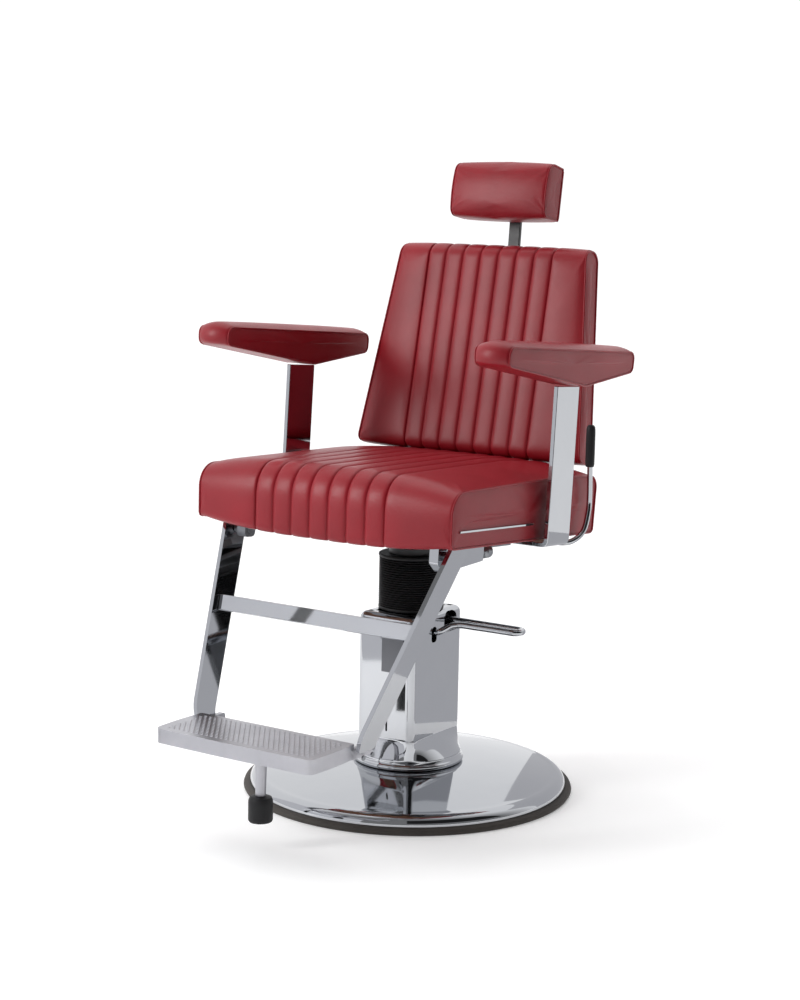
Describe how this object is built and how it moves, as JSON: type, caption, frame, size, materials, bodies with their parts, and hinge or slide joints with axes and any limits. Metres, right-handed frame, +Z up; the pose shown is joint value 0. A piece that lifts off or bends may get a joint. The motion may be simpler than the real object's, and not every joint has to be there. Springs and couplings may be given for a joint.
{
  "type": "hydraulic barber chair",
  "caption": "Hydraulic barber chair: channelled seat on a lifting, turning pedestal, reclining back, swinging footrest and adjustable headrest.",
  "frame": {"origin": "on the floor, on the axis the seat turns about", "axes": "+Z up; the sitter faces -Y, so +X is the sitter's left, where the release lever and the pump pedal are"},
  "size_m": [0.6516, 0.8909, 1.1466],
  "materials": {
    "chrome": "polished",
    "cast_aluminium": "satin, as cast",
    "steel": "plain",
    "black_steel": "satin black",
    "leather": "deep red vinyl leather, satin gloss",
    "black_rubber": "satin",
    "grey_rubber": "matt",
    "plywood": "matt",
    "label": "satin, blank"
  },
  "bodies": {
    "base": {"base_plate": "chrome", "base_rim": "grey_rubber", "base_flange": "steel", "pump_cover": "chrome", "pump_cylinder": "steel", "rating_plate": "label", "bellows_clamp_lower": "black_rubber"},
    "pedal": {"pedal_hub": "black_steel", "pump_pedal": "chrome"},
    "lift": {"pump_ram": "chrome", "bellows": "black_rubber", "bellows_clamp_upper": "black_rubber"},
    "seat": {"swivel_hub": "black_steel", "mount_plate": "steel", "frame_rail_left": "steel", "frame_rail_right": "steel", "seat_board": "plywood", "seat_cushion": "leather", "arm_post_left": "chrome", "arm_post_right": "chrome", "arm_pad_left": "leather", "arm_pad_right": "leather", "side_trim": "chrome", "hanger_left": "chrome", "hanger_right": "steel", "stop_bolt": "steel", "back_bracket_left": "steel", "back_bracket_right": "steel", "lock_cylinder": "black_steel", "lock_rod": "chrome"},
    "lever": {"release_lever": "chrome", "release_grip": "black_rubber"},
    "footrest": {"footrest_bar_left": "chrome", "footrest_bar_right": "chrome", "footrest_pin_left": "steel", "footrest_pin_right": "steel", "cross_bar": "chrome", "foot_plate": "cast_aluminium", "plate_screw_left_1": "steel", "plate_screw_left_2": "steel", "plate_screw_right_1": "steel", "plate_screw_right_2": "steel", "prop_rod": "cast_aluminium", "prop_foot": "black_rubber"},
    "back": {"back_cushion": "leather", "back_panel": "leather", "back_arm_left": "steel", "back_arm_right": "steel", "hinge_shaft": "steel", "lock_crank": "black_steel", "headrest_guide": "black_steel", "clamp_knob": "black_rubber"},
    "headrest_slider": {"headrest_bar": "black_steel"},
    "headrest": {"headrest_pad": "leather", "headrest_board": "leather", "headrest_hinge": "black_steel"}
  },
  "joints": [
    {"name": "pump_lift", "type": "slide", "parent": "base", "child": "lift", "axis": [0, 0, 1], "range_m": [0, 0.15], "deforming": ["bellows"]},
    {"name": "pedal_pump", "type": "hinge", "parent": "base", "child": "pedal", "pos_m": [0.036, 0.041, 0.317], "axis": [0, 1, 0], "range_deg": [0, 20], "stiffness_Nm_per_rad": 6, "springref_deg": -11.46},
    {"name": "seat_swivel", "type": "hinge", "parent": "lift", "child": "seat", "pos_m": [0, 0, 0.45], "axis": [0, 0, 1], "continuous": true},
    {"name": "back_recline", "type": "hinge", "parent": "seat", "child": "back", "pos_m": [0, 0.2195, 0.49906], "axis": [-1, 0, 0], "range_deg": [0, 45]},
    {"name": "footrest_swing", "type": "hinge", "parent": "seat", "child": "footrest", "pos_m": [0, -0.226, 0.491], "axis": [-1, 0, 0], "range_deg": [0, 40.5]},
    {"name": "release_pull", "type": "hinge", "parent": "seat", "child": "lever", "pos_m": [0.2, 0.0955, 0.4755], "axis": [-1, 0, 0], "range_deg": [0, 16], "stiffness_Nm_per_rad": 4, "springref_deg": -17.19},
    {"name": "headrest_slide", "type": "slide", "parent": "back", "child": "headrest_slider", "axis": [0, 0.2096, 0.9778], "range_m": [-0.035, 0.085]},
    {"name": "headrest_tilt", "type": "hinge", "parent": "headrest_slider", "child": "headrest", "pos_m": [0, 0.3385, 1.055], "axis": [-1, 0, 0], "range_deg": [-10, 25]}
  ],
  "couplings": [
    {"joint": "footrest_swing", "follows": "back_recline", "ratio": 0.9}
  ]
}
